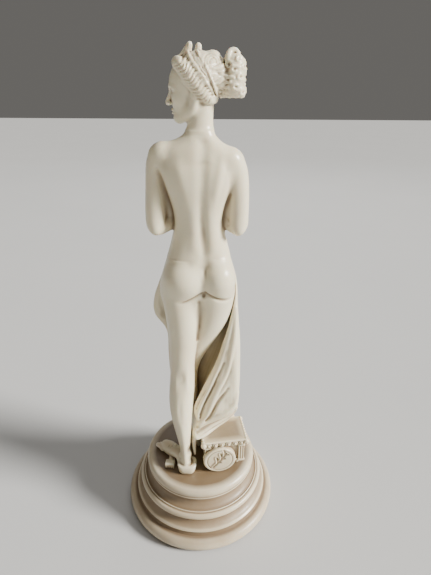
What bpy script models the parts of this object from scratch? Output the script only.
"""Standing draped figure beside a small casket, on a turned round base.

Every piece is its own closed solid. Lengths in the tables are millimetres and
are scaled to metres by MM. +Z is up, the origin is the centre of the
underside, the figure faces -Y and its left side is +X.
"""

import math

import bmesh
import bpy
from mathutils import Matrix, Vector

MM = 0.001

# ---- driving dimensions (millimetres) ---------------------------------------
GAP = 0.3                    # clearance kept between pieces that touch
TOTAL_HEIGHT = 300.0         # underside of the felt to the top of the hair
PLINTH_TOP = 40.0            # the ground that the figure stands on
PLINTH_UNDERSIDE = 33.0
PLINTH_RADIUS = 38.8
PLINTH_SHOULDER = 3.2        # radius of the rounded upper edge
PLINTH_UNDERCUT = 0.9        # how far the lower edge draws in

# socle profile: centre radius, centre height and radius of each moulding
UPPER_CAVETTO = (43.4, 30.6, 6.4)
BEAD = (42.2, 22.2, 2.3)
LOWER_CAVETTO = (50.2, 21.0, 7.2)
TORUS = (49.0, 4.9, 4.7)
SOCLE_TOP_RADIUS = 37.0
UPPER_FILLET = ((41.6, 24.6), (42.2, 24.2))
LOWER_FILLET = ((47.2, 13.6), (47.4, 12.0), (48.2, 9.6))

FELT_RADIUS = 46.0
FELT_THICKNESS = 1.4
FELT_MARGIN = 0.4            # play round the felt in its recess
RIM_CHAMFER = 0.2
RIM_CLEARANCE = 0.4          # how far the socle's rim stays off the table

NUT_POCKET_RADIUS = 9.0
NUT_POCKET_DEPTH = 11.0
STUD_RADIUS = 2.9
STUD_DEPTH_IN_PLINTH = 4.5
STUD_OVERHANG = 1.5          # how far the stud shows below the nut
WASHER_RADIUS = 7.4
WASHER_THICKNESS = 1.2
NUT_RADIUS = 5.8             # over the corners
NUT_THICKNESS = 4.0

LEG_ROD_RADIUS = 1.3
LEG_ROD_TOP = 96.0
LEG_ROD_FOOT = (9.4, 19.0)   # where the rod crosses the ground
LEG_ROD_LEAN = (0.035, -0.145)  # shift in x and y per millimetre of height
DOWEL_RADIUS = 1.5
DOWEL_DEPTH = 4.5            # how far the rod and the dowels go into the plinth
SOCKET_DEPTH = 5.0
BORE_SPARE = 1.0             # how much deeper a bore is than its pin
DRAPERY_DOWEL = (-10.0, -20.0)
DRAPERY_DOWEL_TOP = 50.0
CASKET_DOWEL_TOP = 52.0

CASKET_CENTRE = (-15.8, 8.5)
CASKET_YAW = math.radians(9.0)
CASKET_SIZE = (27.8, 20.4)
CASKET_TOP = 61.5
CASKET_EDGE = 0.4            # bevel along its edges
CASKET_WALL_INSET = 1.5      # walls stand back from the corner posts
CASKET_FOOT_RADIUS = 2.0
CASKET_FOOT_HEIGHT = 3.0
POST_WIDTH = 4.0
POST_INSET = 2.2
POST_RECESS = 0.2            # posts end this far inside the top and bottom of the walls
FOOT_OVERLAP = 1.0           # how far a foot reaches into its post
MEDALLION_RADIUS = 10.2
MEDALLION_THICKNESS = 3.0
MEDALLION_DRAFT = 0.5        # its front is this much smaller in radius than its back
MEDALLION_SIDES = 32
MEDALLION_OFFSET = 3.0       # along the front, from its middle
MEDALLION_PROUD = 0.6        # its middle lies this far behind the posts' face
LID_SIZE = (30.6, 23.0)
LID_TOP = 66.0
LID_EDGE = 0.7
EGG_COUNT = 7
EGG_GAP = (0.9, 3.0, 3.0)
EGG_GAP_RAISE = 1.0          # middle of the gaps above the lid's underside
CASKET_ROOM_SPARE = 4.0      # how far the room cut for the casket reaches below the ground

FOLD_COUNT = 9
FOLD_DEPTH = 1.1
FOLD_SPREAD = 0.62           # share of the outline that carries folds
FOLD_DRIFT = 90.0            # height over which the folds move on by one
CLOTH_CLEARANCE = 0.45       # kept between the cloth and the body

FIGURE_VOXEL = 1.5
FIGURE_KEEP = 0.15           # share of the remeshed faces that are kept
HEAD_RAISE_FROM = 285.0      # above this height the hair is raised to the total height
HEAD_RAISE_OVER = 8.0

TURNED_STEPS = 44            # sides of the turned pieces
CUTTER_BOTTOM = 30.0         # cutters for bores start below the plinth's sockets
PLINTH_BORE_TOP = 50.0
GROUND_CUTTER = (90.0, 90.0, 20.0)
LEG_ROD_SIDES = 12
WASHER_STEPS = 24
NUT_SIDES = 6
CREASE = math.radians(35)    # edges sharper than this stay crisp on turned and square pieces

# ---- colours ----------------------------------------------------------------
IVORY = (0.78, 0.74, 0.62, 1.0)
IVORY_SHADE = (0.72, 0.67, 0.54, 1.0)
STEEL = (0.45, 0.45, 0.46, 1.0)
FELT_GREEN = (0.05, 0.13, 0.08, 1.0)


# ---- scene helpers ----------------------------------------------------------
def clear_scene():
    for old in list(bpy.data.objects):
        bpy.data.objects.remove(old, do_unlink=True)


def new_collection(name):
    collection = bpy.data.collections.new(name)
    bpy.context.scene.collection.children.link(collection)
    return collection


def principled(name, colour, roughness, metallic=0.0):
    material = bpy.data.materials.new(name)
    material.use_nodes = True
    shader = material.node_tree.nodes["Principled BSDF"]
    shader.inputs["Base Color"].default_value = colour
    shader.inputs["Roughness"].default_value = roughness
    shader.inputs["Metallic"].default_value = metallic
    return material


def object_from_bmesh(name, shape, collection):
    bmesh.ops.recalc_face_normals(shape, faces=shape.faces)
    mesh = bpy.data.meshes.new(name)
    shape.to_mesh(mesh)
    shape.free()
    piece = bpy.data.objects.new(name, mesh)
    collection.objects.link(piece)
    return piece


def dress(piece, material, smooth_angle=math.radians(50)):
    piece.data.materials.clear()
    piece.data.materials.append(material)
    piece.data.shade_smooth()
    piece.data.set_sharp_from_angle(angle=smooth_angle)


def hide_cutter(cutter):
    cutter.hide_render = True
    cutter.display_type = "WIRE"
    return cutter


def cut(piece, cutter, operation="DIFFERENCE"):
    boolean = piece.modifiers.new(cutter.name, "BOOLEAN")
    boolean.object = cutter
    boolean.operation = operation
    boolean.solver = "EXACT"


def baked_mesh(piece):
    """The object's mesh with its modifiers and curve bevels applied."""
    graph = bpy.context.evaluated_depsgraph_get()
    return bpy.data.meshes.new_from_object(piece.evaluated_get(graph))


def keep_largest_body(shape):
    """Deletes every loose body but the one with the most faces."""
    unseen = set(shape.verts)
    bodies = []
    while unseen:
        front = [unseen.pop()]
        body = set(front)
        while front:
            corner = front.pop()
            for edge in corner.link_edges:
                other = edge.other_vert(corner)
                if other in unseen:
                    unseen.discard(other)
                    body.add(other)
                    front.append(other)
        bodies.append(body)
    bodies.sort(key=len)
    for body in bodies[:-1]:
        bmesh.ops.delete(shape, geom=list(body), context="VERTS")


# ---- shape helpers ----------------------------------------------------------
def loft(rings):
    """Closed solid through rings that all have the same number of points."""
    shape = bmesh.new()
    loops = []
    for ring in rings:
        loops.append([shape.verts.new(Vector(point) * MM) for point in ring])
    count = len(loops[0])
    for lower, upper in zip(loops, loops[1:]):
        for i in range(count):
            j = (i + 1) % count
            shape.faces.new((lower[i], lower[j], upper[j], upper[i]))
    shape.faces.new(list(reversed(loops[0])))
    shape.faces.new(loops[-1])
    return shape


def oval_ring(z, centre_x, centre_y, half_width, half_depth, steps=24):
    ring = []
    for i in range(steps):
        angle = 2.0 * math.pi * i / steps
        x = centre_x + half_width * math.cos(angle)
        y = centre_y + half_depth * math.sin(angle)
        ring.append((x, y, z))
    return ring


def add_limb(name, stations, collection):
    """Round limb through (x, y, z, radius) stations, as a bevelled curve."""
    curve = bpy.data.curves.new(name, "CURVE")
    curve.dimensions = "3D"
    curve.bevel_depth = MM
    curve.bevel_resolution = 3
    curve.use_fill_caps = True
    spline = curve.splines.new("POLY")
    spline.points.add(len(stations) - 1)
    for point, (x, y, z, radius) in zip(spline.points, stations):
        point.co = (x * MM, y * MM, z * MM, 1.0)
        point.radius = radius
    limb = bpy.data.objects.new(name, curve)
    collection.objects.link(limb)
    return limb


def merge_into(shape, piece):
    """Adds the object's mesh, in world space, to the bmesh and removes it."""
    bpy.context.view_layer.update()
    mesh = baked_mesh(piece)
    mesh.transform(piece.matrix_world)
    shape.from_mesh(mesh)
    bpy.data.meshes.remove(mesh)
    bpy.data.objects.remove(piece, do_unlink=True)


def add_ovoid(shape, centre, radii):
    """Ellipsoid at a place in millimetres."""
    place = Matrix.Translation(Vector(centre) * MM)
    size = Matrix.Diagonal(Vector((radii[0], radii[1], radii[2], 1.0 / MM)) * MM)
    bmesh.ops.create_uvsphere(shape, u_segments=20, v_segments=12, radius=1.0, matrix=place @ size)


def arc(centre_r, centre_z, radius, start, end, steps):
    """Points of a circular arc in the (radius, height) plane, angles in degrees."""
    points = []
    for i in range(steps + 1):
        angle = math.radians(start + (end - start) * i / steps)
        points.append((centre_r + radius * math.cos(angle), centre_z + radius * math.sin(angle)))
    return points


def turned(name, profile, collection, steps=TURNED_STEPS):
    """Solid of revolution from a (radius, height) outline, which may start and end on the axis."""
    mesh = bpy.data.meshes.new(name)
    points = [(r * MM, 0.0, z * MM) for r, z in profile]
    edges = [(i, i + 1) for i in range(len(points) - 1)]
    if profile[0][0] > 0.0:
        edges.append((len(points) - 1, 0))
    mesh.from_pydata(points, edges, [])
    piece = bpy.data.objects.new(name, mesh)
    collection.objects.link(piece)
    screw = piece.modifiers.new("turning", "SCREW")
    screw.axis = "Z"
    screw.angle = 2.0 * math.pi
    screw.steps = steps
    screw.render_steps = steps
    screw.use_merge_vertices = True
    screw.merge_threshold = 0.00001
    return piece


def rod(name, centre, radius, bottom, top, collection, sides=16):
    """Upright round bar."""
    shape = bmesh.new()
    place = Matrix.Translation(Vector((centre[0], centre[1], (bottom + top) / 2.0)) * MM)
    bmesh.ops.create_cone(
        shape,
        cap_ends=True,
        segments=sides,
        radius1=radius * MM,
        radius2=radius * MM,
        depth=(top - bottom) * MM,
        matrix=place,
    )
    return object_from_bmesh(name, shape, collection)


def block(name, size, centre, collection, yaw=0.0):
    """Box with its sizes applied to the mesh."""
    shape = bmesh.new()
    scale = Matrix.Diagonal(Vector((size[0] * MM, size[1] * MM, size[2] * MM, 1.0)))
    bmesh.ops.create_cube(shape, size=1.0, matrix=scale)
    piece = object_from_bmesh(name, shape, collection)
    piece.location = Vector(centre) * MM
    piece.rotation_euler = (0.0, 0.0, yaw)
    return piece


# ---- the figure -------------------------------------------------------------
# height, centre x, centre y, half width, half depth
TORSO = (
    (150.0, 0.5, 0.0, 7.0, 6.0),
    (160.0, 0.8, 0.8, 14.0, 8.4),
    (168.0, 1.0, 2.0, 20.0, 11.6),
    (175.0, 0.8, 3.0, 21.8, 13.2),
    (182.0, 0.3, 3.0, 21.0, 13.0),
    (190.0, -0.4, 2.8, 19.2, 11.8),
    (201.0, -0.9, 2.4, 16.0, 10.2),
    (213.0, -0.9, 2.4, 13.6, 9.4),
    (226.0, -0.8, 2.8, 15.6, 10.4),
    (238.0, -0.4, 3.4, 19.4, 11.0),
    (246.0, -0.1, 3.8, 20.4, 9.6),
    (251.0, -0.2, 4.0, 17.0, 7.6),
    (254.5, -0.6, 3.8, 11.4, 6.6),
    (258.0, -1.6, 3.0, 7.6, 6.0),
)

# each limb runs through x, y, z, radius
LIMBS = {
    "neck": (
        (-1.0, 3.2, 250, 8.0),
        (-1.8, 2.5, 258, 7.2),
        (-2.0, 1.8, 263, 6.7),
        (-2.6, 1.0, 272, 6.2),
    ),
    "left_arm": (
        (19.4, 4.0, 247.5, 5.0),
        (20.8, 4.0, 243.5, 6.8),
        (22.4, 4.2, 234, 6.5),
        (22.8, 4.6, 222, 5.6),
        (22.4, 4.2, 212.5, 5.4),
        (19.5, -2.0, 211.5, 5.4),
        (13.0, -10.0, 214.0, 4.4),
        (6.5, -15.0, 217.0, 3.4),
        (0.5, -15.2, 219.0, 3.4),
        (-3.0, -15.2, 220.5, 2.6),
    ),
    "right_arm": (
        (-19.4, 4.0, 247.5, 5.0),
        (-20.8, 4.0, 243.5, 6.8),
        (-22.4, 4.2, 234, 6.5),
        (-22.8, 4.6, 222, 5.6),
        (-22.4, 4.2, 212.5, 5.4),
        (-19.0, -2.0, 213.5, 5.4),
        (-12.0, -9.5, 219.0, 4.4),
        (-5.0, -14.0, 224.5, 3.4),
        (0.6, -15.0, 227.5, 3.4),
        (3.6, -15.0, 229.0, 2.4),
    ),
    "left_leg": (
        (11.0, 4.5, 176, 11.5),
        (11.2, 5.6, 160, 11.6),
        (10.8, 6.8, 145, 10.0),
        (10.6, 8.2, 128, 8.6),
        (10.9, 9.2, 111, 7.8),
        (11.4, 11.6, 98, 8.1),
        (11.4, 13.0, 88, 7.6),
        (10.8, 15.0, 73, 5.4),
        (9.8, 16.8, 57, 3.7),
        (9.6, 17.6, 50, 3.9),
        (9.4, 18.4, 44, 4.2),
    ),
    "left_foot": (
        (9.3, 19.6, 43.8, 4.6),
        (14.2, 12.8, 46.2, 4.5),
        (18.6, 8.2, 45.6, 4.8),
        (22.8, 3.8, 44.0, 4.9),
        (27.4, -0.8, 42.6, 3.4),
    ),
    "heel_cup": (
        (4.4, 19.4, 42.6, 3.0),
        (8.6, 20.6, 42.6, 4.0),
        (12.8, 19.6, 42.6, 3.0),
    ),
    "instep_block": (
        (22.6, 14.4, 42.0, 2.4),
        (18.4, 17.2, 42.0, 2.4),
    ),
    "right_leg": (
        (-9.8, 3.4, 176, 11.0),
        (-9.4, 2.2, 160, 11.0),
        (-4.6, -0.8, 145, 10.4),
        (1.2, -4.2, 130, 10.0),
        (6.2, -7.4, 118, 9.0),
        (8.2, -8.8, 108, 7.9),
        (8.4, -9.0, 98, 7.2),
        (7.4, -8.9, 84, 6.2),
        (5.4, -8.7, 68, 4.6),
        (3.9, -8.6, 55, 3.8),
    ),
    "right_foot": (
        (3.4, -7.4, 49, 3.9),
        (2.4, -12.0, 50.0, 4.2),
        (1.0, -16.5, 47.0, 4.1),
        (-0.4, -21.0, 43.8, 3.8),
        (-1.2, -24.5, 42.6, 3.0),
    ),
}

# centre, then half sizes along x, y and z
MASSES = (
    ((8.4, 9.6, 180.6), (11.6, 9.4, 11.6)),        # left buttock
    ((-11.0, 8.8, 181.6), (9.8, 9.2, 11.2)),       # right buttock
    ((18.6, 4.0, 245.5), (7.8, 6.8, 6.8)),         # shoulders
    ((-18.6, 4.0, 245.5), (7.8, 6.8, 6.8)),
    ((8.2, -5.5, 237.0), (6.4, 5.6, 6.6)),         # breasts
    ((-8.2, -5.5, 237.0), (6.4, 5.6, 6.6)),
    ((0.4, 0.8, 283.0), (12.4, 10.2, 11.6)),       # skull
    ((5.6, 0.2, 275.4), (6.6, 6.4, 9.6)),          # jaw and cheeks
    ((9.2, 0.0, 278.6), (5.2, 4.6, 7.2)),          # front of the face
    ((14.0, -0.2, 276.4), (1.6, 1.3, 2.6)),        # nose
    ((-3.0, 0.8, 285.6), (10.6, 10.8, 10.6)),      # combed hair
    ((-4.6, 1.2, 276.0), (6.4, 7.4, 8.4)),         # hair drawn up from the nape
    ((4.0, 0.6, 295.0), (3.4, 3.4, 3.6)),          # curls on the crown
    ((-1.2, 0.6, 296.2), (3.4, 3.6, 3.6)),
    ((-6.6, 0.6, 293.4), (4.6, 5.0, 4.4)),
    ((-12.4, 0.8, 291.0), (5.0, 5.4, 5.0)),        # gathered tail of the knot
    ((-17.0, 1.0, 289.6), (5.6, 6.0, 6.2)),
    ((-17.4, 1.0, 281.6), (6.4, 6.6, 6.0)),
)


def make_figure(collection, cutters, material):
    shape = loft([oval_ring(*section) for section in TORSO])
    for name, stations in LIMBS.items():
        merge_into(shape, add_limb(name, stations, collection))
    for centre, radii in MASSES:
        add_ovoid(shape, centre, radii)
    rough = object_from_bmesh("figure_masses", shape, collection)

    remesh = rough.modifiers.new("fuse", "REMESH")
    remesh.mode = "VOXEL"
    remesh.voxel_size = FIGURE_VOXEL * MM
    blend = rough.modifiers.new("blend", "SMOOTH")
    blend.factor = 0.5
    blend.iterations = 4
    thin = rough.modifiers.new("thin", "DECIMATE")
    thin.ratio = FIGURE_KEEP
    bpy.context.view_layer.update()

    fused = bmesh.new()
    fused.from_mesh(baked_mesh(rough))
    bpy.data.objects.remove(rough, do_unlink=True)
    keep_largest_body(fused)
    raise_to = TOTAL_HEIGHT * MM - max(corner.co.z for corner in fused.verts)
    for corner in fused.verts:
        share = (corner.co.z / MM - HEAD_RAISE_FROM) / HEAD_RAISE_OVER
        corner.co.z += raise_to * max(0.0, min(1.0, share))
    figure = object_from_bmesh("figure", fused, collection)

    ground_middle = (0, 0, PLINTH_TOP + GAP - GROUND_CUTTER[2] / 2.0)
    ground = block("ground_cutter", GROUND_CUTTER, ground_middle, cutters)
    cut(figure, hide_cutter(ground))
    bore_top = LEG_ROD_TOP + BORE_SPARE
    bore = rod("leg_bore", (0, 0), LEG_ROD_RADIUS + GAP, CUTTER_BOTTOM, bore_top, cutters, LEG_ROD_SIDES)
    place_along_leg(bore)
    cut(figure, hide_cutter(bore))
    dress(figure, material)
    return figure


def place_along_leg(piece):
    """Shears an upright bar so that it follows the standing leg."""
    for corner in piece.data.vertices:
        height = corner.co.z / MM - PLINTH_TOP
        corner.co.x += (LEG_ROD_FOOT[0] + LEG_ROD_LEAN[0] * height) * MM
        corner.co.y += (LEG_ROD_FOOT[1] + LEG_ROD_LEAN[1] * height) * MM


# ---- the drapery ------------------------------------------------------------
# Plan outlines, clockwise from the edge at the figure's left hip, round the
# front and the right side, and back through the middle of the body.
DRAPE_LEVELS = (
    (40.3, ((13, -9), (14, -17), (8, -25), (0, -30), (-9, -31), (-18, -27), (-25, -20), (-28, -13),
            (-26, -9), (-20, -6), (-12, -5), (-4, -3), (0, 0), (4, -2))),
    (58.0, ((14, -8), (14, -15), (9, -21), (1, -25), (-9, -26), (-17, -23), (-23, -16), (-26, -9),
            (-25, -3), (-18, 2), (-10, 5), (-2, 5), (1, 3), (5, -1))),
    (70.0, ((15, -6), (15, -13), (10, -19), (2, -23), (-8, -24), (-16, -20), (-22, -12), (-24, -4),
            (-21, 5), (-14, 10.5), (-6, 13.5), (2.5, 13), (3, 8), (7, 0))),
    (84.0, ((16, -4), (16, -12), (11, -18), (3, -22), (-7, -22), (-15, -19), (-22, -11), (-26, -1),
            (-24.5, 8), (-15, 12.5), (3, 11), (1, 4), (0, -5), (7, -9))),
    (100.0, ((17, -3), (17, -11), (12, -18), (4, -22), (-6, -22), (-15, -18), (-23.5, -9), (-26.5, 1),
             (-25, 9), (-16, 11.5), (-2, 8.5), (-5, 1), (-4, -8), (6, -11))),
    (120.0, ((18, -3), (18, -11), (13, -17), (5, -21), (-5, -21), (-14, -17), (-22.5, -9), (-26.3, 0),
             (-24.5, 8), (-18, 9.5), (-10.5, 6.5), (-13, -1), (-11, -9), (-1, -11))),
    (138.0, ((19, -4), (20, -10), (14.5, -17), (5.8, -20.2), (-4.2, -20.2), (-14, -17), (-22.2, -9),
             (-25.7, -1), (-24.4, 6.6), (-20, 7.6), (-15.8, 5.6), (-17.5, 0), (-16, -7.5), (-5, -9.5))),
    (150.0, ((26.2, -5), (25, -11), (16, -17), (6, -19.5), (-4.5, -19.5), (-14, -16.5), (-21.8, -8.5),
             (-24.8, -1), (-23.8, 4.8), (-21.3, 5.8), (-19, 5), (-19.6, 0), (-18.4, -6), (-6, -6.5))),
    (162.0, ((26, -5), (25, -11), (17, -17), (6, -19), (-5, -19), (-14, -16), (-21.5, -8), (-24, -1),
             (-23.4, 3.5), (-22.2, 4.4), (-21, 4), (-20.6, 0), (-19, -5), (-6, -4))),
    (178.0, ((21.2, -5), (21.6, -10), (16, -15), (6, -17.5), (-5, -17.5), (-14, -14.5), (-20.5, -8),
             (-22.6, -3), (-22.2, -1), (-21.4, -1), (-20.4, -2), (-19, -3), (-14, -3), (8, -1))),
    (200.0, ((14.5, -5), (15.6, -9.5), (12.5, -14.5), (5, -17), (-5, -17), (-12, -14), (-15.8, -9.5),
             (-16, -5), (-15, -3.5), (-13.5, -2.5), (-11, -2), (-9, -1), (-3, -1), (7, -1))),
    (216.0, ((11, -9), (12.5, -14), (9.5, -18.5), (4, -20.5), (-4, -20.5), (-9.5, -18.5), (-12, -14),
             (-11.5, -9), (-10.5, -7), (-9, -5), (-7, -4), (-5, -3), (-1, -3), (6, -5))),
    (231.0, ((8, -12), (8.5, -15), (6, -19), (2, -20.5), (-2, -20.5), (-5, -19), (-7, -16),
             (-7, -12), (-6, -9), (-5, -7), (-4, -6), (-2, -5), (0, -5), (4, -7))),
)


def smooth_outline(points, steps_between):
    """Closed Catmull-Rom curve through the points of a plan outline."""
    smooth = []
    count = len(points)
    for i in range(count):
        before, here, after, beyond = (Vector(points[(i + k) % count]) for k in (-1, 0, 1, 2))
        for step in range(steps_between):
            t = step / steps_between
            pull = (after - before) * 0.5
            push = (beyond - here) * 0.5
            bend = here * (2 * t**3 - 3 * t**2 + 1) + after * (3 * t**2 - 2 * t**3)
            bend += pull * (t**3 - 2 * t**2 + t) + push * (t**3 - t**2)
            smooth.append(bend)
    return smooth


def drape_ring(z, outline):
    """One level of the drapery, with its front and side pushed into folds."""
    points = smooth_outline(outline, 4)
    count = len(points)
    ring = []
    for i, point in enumerate(points):
        share = i / count
        outside = max(0.0, math.sin(math.pi * min(1.0, share / FOLD_SPREAD)))
        wave = math.sin(2.0 * math.pi * (FOLD_COUNT * share + z / FOLD_DRIFT))
        outward = point.normalized() if point.length > 0.001 else Vector((0.0, 0.0))
        moved = point + outward * (FOLD_DEPTH * outside * wave)
        ring.append((moved.x, moved.y, z))
    return ring


def clearance_copy(piece, name, cutters):
    """The piece grown by the clearance, to cut its neighbours with."""
    graph_mesh = baked_mesh(piece)
    grown = bpy.data.objects.new(name, graph_mesh)
    cutters.objects.link(grown)
    swell = grown.modifiers.new("clearance", "DISPLACE")
    swell.strength = CLOTH_CLEARANCE * MM
    swell.mid_level = 0.0
    return hide_cutter(grown)


def make_drapery(figure, collection, cutters, material):
    shape = loft([drape_ring(z, outline) for z, outline in DRAPE_LEVELS])
    bmesh.ops.triangulate(shape, faces=shape.faces)
    rough = object_from_bmesh("drapery_block", shape, collection)
    bpy.context.view_layer.update()
    cut(rough, clearance_copy(figure, "figure_clearance", cutters))
    room_height = LID_TOP + GAP - PLINTH_TOP + CASKET_ROOM_SPARE
    room_size = (LID_SIZE[0] + 2 * GAP, LID_SIZE[1] + 2 * GAP, room_height)
    room_middle = (*CASKET_CENTRE, LID_TOP + GAP - room_size[2] / 2.0)
    room = block("casket_room", room_size, room_middle, cutters, CASKET_YAW)
    cut(rough, hide_cutter(room))
    bpy.context.view_layer.update()

    shaped = bmesh.new()
    shaped.from_mesh(baked_mesh(rough))
    bpy.data.objects.remove(rough, do_unlink=True)
    keep_largest_body(shaped)
    drapery = object_from_bmesh("drapery", shaped, collection)
    bore_top = DRAPERY_DOWEL_TOP + BORE_SPARE
    bore = rod("drapery_bore", DRAPERY_DOWEL, DOWEL_RADIUS + GAP, CUTTER_BOTTOM, bore_top, cutters)
    cut(drapery, hide_cutter(bore))
    dress(drapery, material)
    return drapery


# ---- the casket -------------------------------------------------------------
def bevelled(piece, width, segments=2):
    bevel = piece.modifiers.new("edges", "BEVEL")
    bevel.width = width * MM
    bevel.segments = segments
    bevel.limit_method = "ANGLE"
    return piece


def on_casket(along, out, height):
    """World place of a point given along the casket's front and out of it."""
    turned_place = Matrix.Rotation(CASKET_YAW, 2) @ Vector((along, out))
    return (CASKET_CENTRE[0] + turned_place.x, CASKET_CENTRE[1] + turned_place.y, height)


def casket_box(name, size, centre, collection):
    return block(name, size, on_casket(*centre), collection, CASKET_YAW)


def make_casket_body(collection, cutters, material):
    feet_top = PLINTH_TOP + CASKET_FOOT_HEIGHT
    half_width, half_depth = CASKET_SIZE[0] / 2.0, CASKET_SIZE[1] / 2.0
    middle = (CASKET_TOP + feet_top) / 2.0
    wall_size = (CASKET_SIZE[0] - 2 * CASKET_WALL_INSET, CASKET_SIZE[1] - 2 * CASKET_WALL_INSET)
    body = casket_box("casket_body", (*wall_size, CASKET_TOP - feet_top), (0, 0, middle), collection)
    bevelled(body, CASKET_EDGE)
    extras = []
    for side in (-1, 1):
        for end in (-1, 1):
            corner = (side * (half_width - POST_INSET), end * (half_depth - POST_INSET))
            post_size = (POST_WIDTH, POST_WIDTH, CASKET_TOP - feet_top - 2 * POST_RECESS)
            extras.append(casket_box("corner_post", post_size, (*corner, middle), cutters))
            place = on_casket(*corner, 0)[:2]
            foot_top = feet_top + FOOT_OVERLAP
            extras.append(rod("foot", place, CASKET_FOOT_RADIUS, PLINTH_TOP + GAP, foot_top, cutters))
    extras.append(medallion(half_depth, cutters))
    for extra in extras:
        cut(body, hide_cutter(extra), "UNION")
    bore_top = CASKET_DOWEL_TOP + BORE_SPARE
    bore = rod("casket_bore", CASKET_CENTRE, DOWEL_RADIUS + GAP, CUTTER_BOTTOM, bore_top, cutters)
    cut(body, hide_cutter(bore))
    dress(body, material, CREASE)
    return body


def medallion(half_depth, cutters):
    """Round boss on the casket's front, its axis along the casket's depth."""
    shape = bmesh.new()
    height = (CASKET_TOP + PLINTH_TOP) / 2.0 + GAP
    centre = on_casket(MEDALLION_OFFSET, half_depth - MEDALLION_PROUD, height)
    place = Matrix.Translation(Vector(centre) * MM) @ Matrix.Rotation(CASKET_YAW, 4, "Z")
    upright = place @ Matrix.Rotation(math.radians(90), 4, "X")
    bmesh.ops.create_cone(shape, cap_ends=True, segments=MEDALLION_SIDES,
                          radius1=(MEDALLION_RADIUS - MEDALLION_DRAFT) * MM, radius2=MEDALLION_RADIUS * MM,
                          depth=MEDALLION_THICKNESS * MM, matrix=upright)
    return object_from_bmesh("medallion", shape, cutters)


def make_casket_lid(collection, cutters, material):
    bottom = CASKET_TOP + GAP
    middle = (LID_TOP + bottom) / 2.0
    lid = casket_box("casket_lid", (*LID_SIZE, LID_TOP - bottom), (0, 0, middle), collection)
    bevelled(lid, LID_EDGE)
    pitch = LID_SIZE[0] / EGG_COUNT
    for i in range(EGG_COUNT - 1):
        along = (i + 1) * pitch - LID_SIZE[0] / 2.0
        groove = casket_box("egg_gap", EGG_GAP, (along, LID_SIZE[1] / 2.0, bottom + EGG_GAP_RAISE), cutters)
        cut(lid, hide_cutter(groove))
    dress(lid, material, CREASE)
    return lid


# ---- the base ---------------------------------------------------------------
def make_plinth(collection, cutters, material):
    """Flat-topped disc with a rounded shoulder and a blind hole for the stud."""
    hole = STUD_RADIUS + GAP
    hole_top = PLINTH_UNDERSIDE + STUD_DEPTH_IN_PLINTH + GAP
    flat_radius = PLINTH_RADIUS - PLINTH_SHOULDER
    profile = [(0.0, PLINTH_TOP)]
    profile += arc(flat_radius, PLINTH_TOP - PLINTH_SHOULDER, PLINTH_SHOULDER, 90, 0, 6)
    profile += [(PLINTH_RADIUS - PLINTH_UNDERCUT, PLINTH_UNDERSIDE), (hole, PLINTH_UNDERSIDE)]
    profile += [(hole, hole_top), (0.0, hole_top)]
    plinth = turned("plinth_disc", profile, collection)
    socket = PLINTH_TOP - SOCKET_DEPTH
    bores = (
        rod("leg_socket", (0, 0), LEG_ROD_RADIUS + GAP, socket, PLINTH_BORE_TOP, cutters, LEG_ROD_SIDES),
        rod("drapery_socket", DRAPERY_DOWEL, DOWEL_RADIUS + GAP, socket, PLINTH_BORE_TOP, cutters),
        rod("casket_socket", CASKET_CENTRE, DOWEL_RADIUS + GAP, socket, PLINTH_BORE_TOP, cutters),
    )
    place_along_leg(bores[0])
    for bore in bores:
        cut(plinth, hide_cutter(bore))
    dress(plinth, material, CREASE)
    return plinth


def make_socle(collection, material):
    """Stepped round base: cavetto, fillet, bead, cavetto, fillet and torus."""
    hole = STUD_RADIUS + GAP
    pocket = RIM_CLEARANCE + NUT_POCKET_DEPTH
    recess = FELT_THICKNESS + GAP
    top = PLINTH_UNDERSIDE - GAP
    profile = [(hole, top), (SOCLE_TOP_RADIUS, top)]
    profile += arc(*UPPER_CAVETTO, 165, 246, 6)
    profile += UPPER_FILLET
    profile += arc(*BEAD, 80, -70, 6)
    profile += arc(*LOWER_CAVETTO, 190, 244, 5)
    profile += LOWER_FILLET
    profile += arc(*TORUS, 80, -75, 8)
    recess_radius = FELT_RADIUS + FELT_MARGIN
    profile += [(recess_radius + RIM_CHAMFER, RIM_CLEARANCE), (recess_radius, recess)]
    profile += [(NUT_POCKET_RADIUS, recess), (NUT_POCKET_RADIUS, pocket), (hole, pocket)]
    socle = turned("socle", profile, collection)
    dress(socle, material, CREASE)
    return socle


def make_felt(collection, material):
    felt = rod("felt_pad", (0, 0), FELT_RADIUS, 0.0, FELT_THICKNESS, collection, TURNED_STEPS)
    dress(felt, material, CREASE)
    return felt


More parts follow.
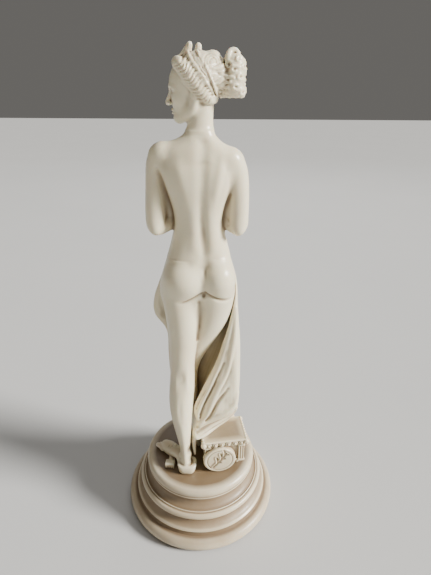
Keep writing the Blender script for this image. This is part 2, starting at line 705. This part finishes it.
# ---- fasteners --------------------------------------------------------------
def make_fasteners(collection, cutters, steel):
    washer_top = RIM_CLEARANCE + NUT_POCKET_DEPTH - GAP
    washer_bottom = washer_top - WASHER_THICKNESS
    nut_top = washer_bottom - GAP
    nut_bottom = nut_top - NUT_THICKNESS
    inner = STUD_RADIUS + GAP
    stud = rod("tie_stud", (0, 0), STUD_RADIUS, nut_bottom - STUD_OVERHANG,
               PLINTH_UNDERSIDE + STUD_DEPTH_IN_PLINTH, collection)
    washer_profile = [(inner, washer_top), (WASHER_RADIUS, washer_top), (WASHER_RADIUS, washer_bottom),
                      (inner, washer_bottom)]
    washer = turned("washer", washer_profile, collection, WASHER_STEPS)
    nut = rod("nut", (0, 0), NUT_RADIUS, nut_bottom, nut_top, collection, NUT_SIDES)
    nut_bore = rod("nut_bore", (0, 0), inner, nut_bottom - BORE_SPARE, nut_top + BORE_SPARE, cutters)
    cut(nut, hide_cutter(nut_bore))

    pin_bottom = PLINTH_TOP - DOWEL_DEPTH
    leg_rod = rod("leg_rod", (0, 0), LEG_ROD_RADIUS, pin_bottom, LEG_ROD_TOP, collection, LEG_ROD_SIDES)
    place_along_leg(leg_rod)
    pieces = [
        stud,
        washer,
        nut,
        leg_rod,
        rod("drapery_dowel", DRAPERY_DOWEL, DOWEL_RADIUS, pin_bottom, DRAPERY_DOWEL_TOP, collection),
        rod("casket_dowel", CASKET_CENTRE, DOWEL_RADIUS, pin_bottom, CASKET_DOWEL_TOP, collection),
    ]
    for piece in pieces:
        dress(piece, steel, CREASE)


def main():
    clear_scene()
    collection = new_collection("draped_figure_statuette")
    cutters = new_collection("cutters")
    marble = principled("bonded_marble", IVORY, 0.42)
    marble_base = principled("bonded_marble_base", IVORY_SHADE, 0.40)
    steel = principled("zinc_plated_steel", STEEL, 0.35, 1.0)
    felt = principled("felt", FELT_GREEN, 0.95)

    figure = make_figure(collection, cutters, marble)
    make_drapery(figure, collection, cutters, marble)
    make_casket_body(collection, cutters, marble)
    make_casket_lid(collection, cutters, marble)
    make_plinth(collection, cutters, marble_base)
    make_socle(collection, marble_base)
    make_felt(collection, felt)
    make_fasteners(collection, cutters, steel)


main()
